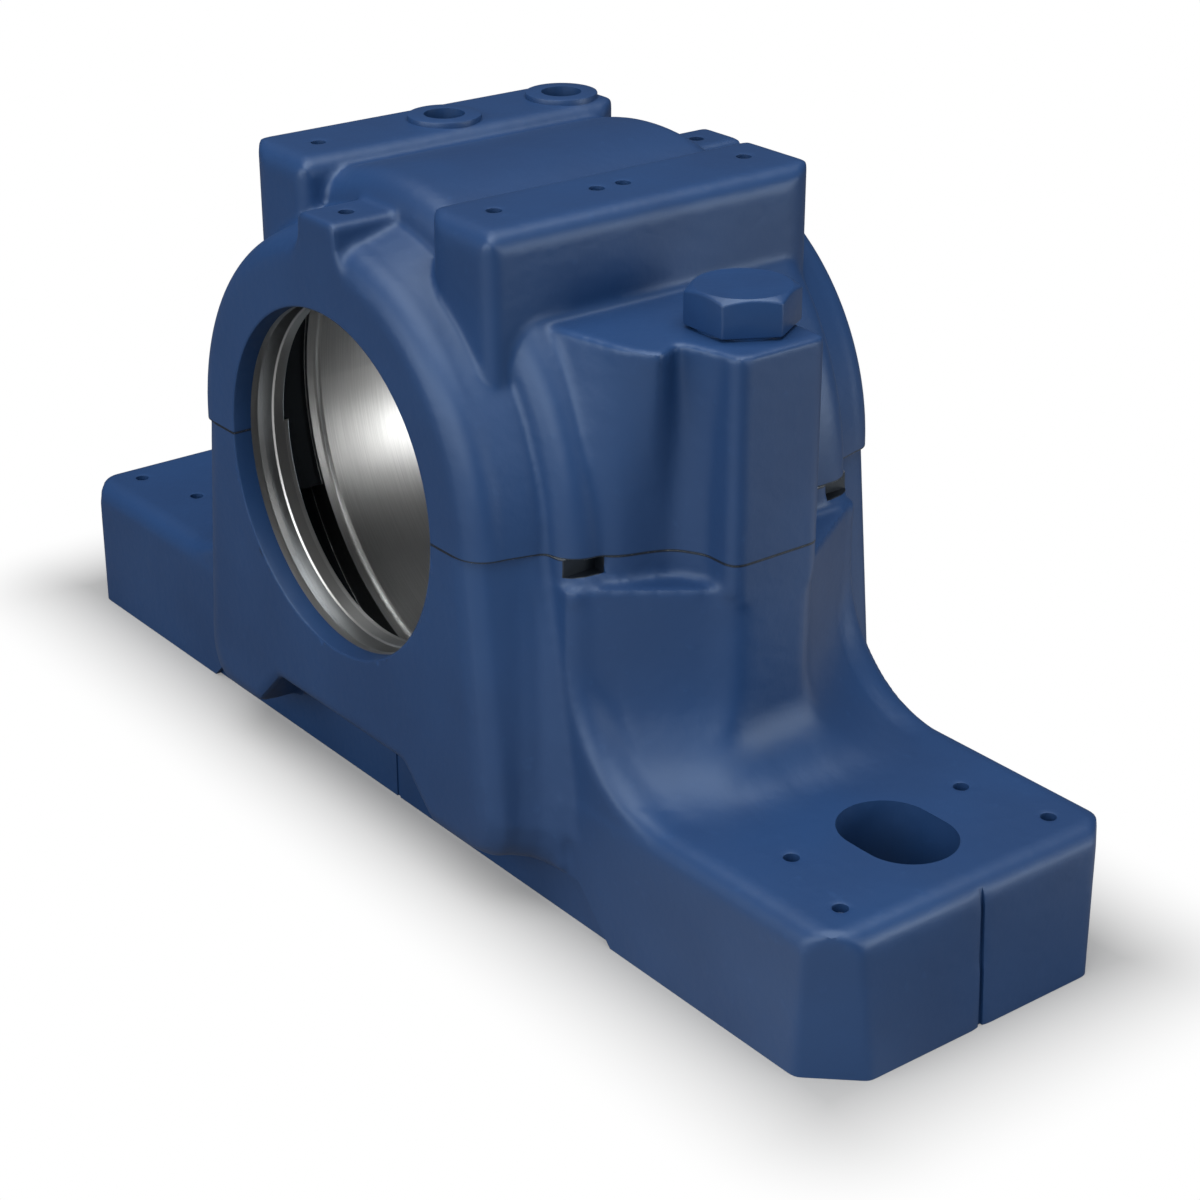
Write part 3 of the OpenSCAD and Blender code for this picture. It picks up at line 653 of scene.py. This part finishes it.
def castingMaterial(s):
    p = Paint("castIronPaintAndMachined")
    x, y, z = (p.node("ShaderNodeSeparateXYZ", {}, [p.place], i) for i in range(3))
    up = z - axisHeight
    radius = (x * x + up * up).root()
    along = y.size()
    # the inside follows the bore's profile, so the valley outside it stays painted
    coneRadius, coneStart, slope = s["cone"]
    cone = coneRadius - (along - coneStart) * slope
    wideRadius, wideHalf = s["wide"]
    wide = (radius < cone.both(wideRadius)) * (along < wideHalf)
    narrow = (radius < s["narrow"][0]) * (along < s["narrow"][1])
    sumpRadius, sumpHalf, sumpTop = s["sump"]
    inSump = (radius < sumpRadius) * (along < sumpHalf) * (z < sumpTop)
    inside = wide.either(narrow).either(inSump)
    # painted shade: near-black colour in the cavity between the seat's relief and the inner lip
    cavity = inside * along.between((s["cavityStart"], wideHalf)) * (radius > s["cavityRadius"])
    # the mounting face and the split plane are cut flat
    flatCut = (z < 0.00005).either((z - axisHeight).size() < 0.000002)
    flatCut = flatCut * (1 - inside)
    bare = (inside - cavity).either(flatCut)
    seat = inside * (along < s["seatHalf"])
    # paint: slow change of shade and a slight cast texture under it
    drift = p.noise(28, 2.0).ramp(0.35, 0.7)
    speck = p.noise(420, 3.0)
    shade = p.blend(drift, colour(*s["paint"]), colour(*s["paintDeep"]))
    shade = p.blend(speck.ramp(0.62, 0.8) * 0.35, shade, colour(*s["paintWorn"]))
    # painted shade: a dark line along the parting plane, and dark pry slots
    seamShade = 1 - (z - axisHeight).size().ramp(*s["seamShade"])
    across, lengthwise, height = s["pryShade"]
    pryShade = x.size().between(across) * along.between(lengthwise) * z.between(height)
    shade = p.blend(seamShade.either(pryShade), shade, colour(*s["gapShade"]))
    # bare metal: fine turning marks round the bore
    turning = p.noise(1, 4.0, 0.6, stretch=(60, 5200, 60))
    patch = p.noise(60, 3.0)
    metal = p.blend(turning.ramp(0.3, 0.7) * 0.5 + patch.ramp(0.4, 0.7) * 0.25,
                    colour(*s["metal"]), colour(*s["metalDark"]))
    # painted shade: the outer lip's bore gets the darker copy of the metal
    metal = p.blend(narrow * (along > wideHalf), metal, colour(*s["metalLipShade"]))
    inner = p.blend(cavity, metal, colour(*s["cavity"]))
    base = p.blend(bare.either(cavity), shade, inner)
    rough = bare * (s["metalRough"] - s["paintRough"]) + s["paintRough"]
    rough = rough + cavity * 0.3 + (drift - 0.5) * 0.05 - seat * 0.02
    rough = rough + (turning - 0.5) * 0.08 * bare
    relief = speck * 0.6 + p.noise(160, 2.0) * 1.2
    bump = relief * (1 - bare) + turning * 0.12 * bare + p.noise(300, 3.0) * 2.0 * cavity
    return p.finish(surface(s, base, bare, rough), bump, 0.18, 0.0006)


def boltMaterial(s):
    p = Paint("boltPaint")
    drift = p.noise(60, 2.0).ramp(0.35, 0.7)
    z = p.node("ShaderNodeSeparateXYZ", {}, [p.place], 2)
    shade = p.blend(drift, colour(*s["paint"]), colour(*s["paintDeep"]))
    shank = z < s["shankTop"]
    base = p.blend(shank, shade, colour(*s["metal"]))
    rough = s["boltRough"] + (drift - 0.5) * 0.06
    return p.finish(surface(s, base, shank, rough), p.noise(500, 3.0), 0.15, 0.0004)


pinSteel = {"light": (190, 190, 192), "dark": (160, 160, 163), "rough": 0.25}


def pinMaterial(s):
    p = Paint("groundSteelPin")
    streak = p.noise(1, 3.0, 0.5, stretch=(300, 300, 3000))
    shade = p.blend(streak, colour(*s["light"]), colour(*s["dark"]))
    return p.finish({"Base Color": shade, "Metallic": 1.0, "Roughness": s["rough"] + streak * 0.1},
                    streak, 0.08, 0.0002)


def wear(thing, material):
    thing.data.materials.clear()
    thing.data.materials.append(material)


castPaint = castingMaterial(casting)
boltPaint = boltMaterial(casting)
pinPolish = pinMaterial(pinSteel)
for thing in (castBase, castCap):
    wear(thing, castPaint)
for thing in (boltRight, boltLeft):
    wear(thing, boltPaint)
for node in ("dowel_pin_right", "dowel_pin_left"):
    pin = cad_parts[node]
    for slot in pin.material_slots:
        slot.material = pinPolish
    if not pin.material_slots:
        pin.data.materials.append(pinPolish)
print("materials set")


# floor, world and lamps

# lamps: name, place, size and watts, all aimed at one point
studio = {
    # the floor grey and the reach below paint a contact shadow round the feet
    "floorSize": 6.0, "shadowFloorGrey": 0.31, "bounce": 0.14,
    "footprint": (0.1275, 0.035), "contactShadowReach": (-0.012, 0.031),
    # the spots are floor patches that glow for reflected rays only: painted reflections
    "reflectedGlowSpots": [(0.14, -0.15, 0.17, 1.0), (0.10, -0.30, 0.17, 1.0), (0.16, 0.16, 0.13, 1.0)],
    "sky": (0.93, 0.96, 1.0), "skyLevel": 0.07, "aim": (0, 0, 0.06),
    "lamps": [
        ("above", (0.10, -0.10, 1.25), (1.3, 1.3), 22.0),
        ("behind", (0.10, 0.55, 1.10), (0.3, 0.3), 0.6),
        ("rearCard", (0.80, 0.56, 0.18), (0.50, 0.34), 3.2),
        ("right", (0.90, 0.14, 0.56), (0.30, 0.60), 1.2),
        ("front", (-0.14, -0.95, 0.40), (0.60, 0.62), 4.6),
        ("low", (0.46, -0.74, 0.44), (0.55, 0.50), 3.6),
    ],
}


def distance(dx, dy):
    return (dx * dx + dy * dy).root()


def makeFloor(s):
    bm = bmesh.new()
    bmesh.ops.create_grid(bm, x_segments=2, y_segments=2, size=s["floorSize"])
    floor = addObject("floor", bm)
    p = Paint("paleFloor")
    x, y = (p.node("ShaderNodeSeparateXYZ", {}, [p.place], i) for i in range(2))
    seen = p.node("ShaderNodeLightPath", {}, {}, "Is Camera Ray")
    mirrored = p.node("ShaderNodeLightPath", {}, {}, "Is Glossy Ray")
    shade = p.blend(seen, grey(s["bounce"]), grey(s["shadowFloorGrey"]))
    lit = p.node("ShaderNodeBsdfDiffuse", {}, {"Color": shade})
    white = p.node("ShaderNodeEmission", {}, {"Strength": 1.0})
    # painted contact shadow: near the feet the camera sees the dark grey lit floor, and away from
    # them the floor turns to plain white
    halfLength, halfWidth = s["footprint"]
    away = distance((x.size() - halfLength).either(0), (y.size() - halfWidth).either(0))
    share = away.ramp(*s["contactShadowReach"]) * seen
    # painted reflections: a few patches of the floor glow for reflected rays only, and bright
    # metal mirrors them
    spots = [distance(x - px, y - py).ramp(size * 0.4, size, level, 0.0)
             for px, py, size, level in s["reflectedGlowSpots"]]
    spotGlow = spots[0]
    for spot in spots[1:]:
        spotGlow = spotGlow.either(spot)
    share = share + mirrored * spotGlow
    made = p.node("ShaderNodeMixShader", {}, [share, lit, white])
    p.node("ShaderNodeOutputMaterial", {}, [made])
    wear(floor, p.material)


def makeWorld(s):
    # plain white for the camera, a dim sky for the rest
    world = bpy.data.worlds.new("studio")
    p = Paint("studio", world)
    seen = p.node("ShaderNodeLightPath", {}, {}, "Is Camera Ray")
    sky = p.node("ShaderNodeBackground", {}, {"Color": s["sky"] + (1,), "Strength": s["skyLevel"]})
    plain = p.node("ShaderNodeBackground", {}, {"Color": grey(1), "Strength": 1.0})
    made = p.node("ShaderNodeMixShader", {}, [seen, sky, plain])
    p.node("ShaderNodeOutputWorld", {}, [made])
    bpy.context.scene.world = world


def makeLamp(name, place, aim, size, power):
    data = bpy.data.lights.new(name, "AREA")
    data.shape = "RECTANGLE"
    data.size, data.size_y = size
    data.energy = power
    lamp = bpy.data.objects.new(name, data)
    lamp.location = place
    lamp.rotation_mode = "QUATERNION"
    lamp.rotation_quaternion = (Vector(aim) - Vector(place)).to_track_quat("-Z", "Y")
    bpy.context.scene.collection.objects.link(lamp)


makeFloor(studio)
makeWorld(studio)
for name, place, size, power in studio["lamps"]:
    makeLamp(name, place, studio["aim"], size, power)
bpy.context.scene.view_settings.view_transform = "Standard"
print("studio set")
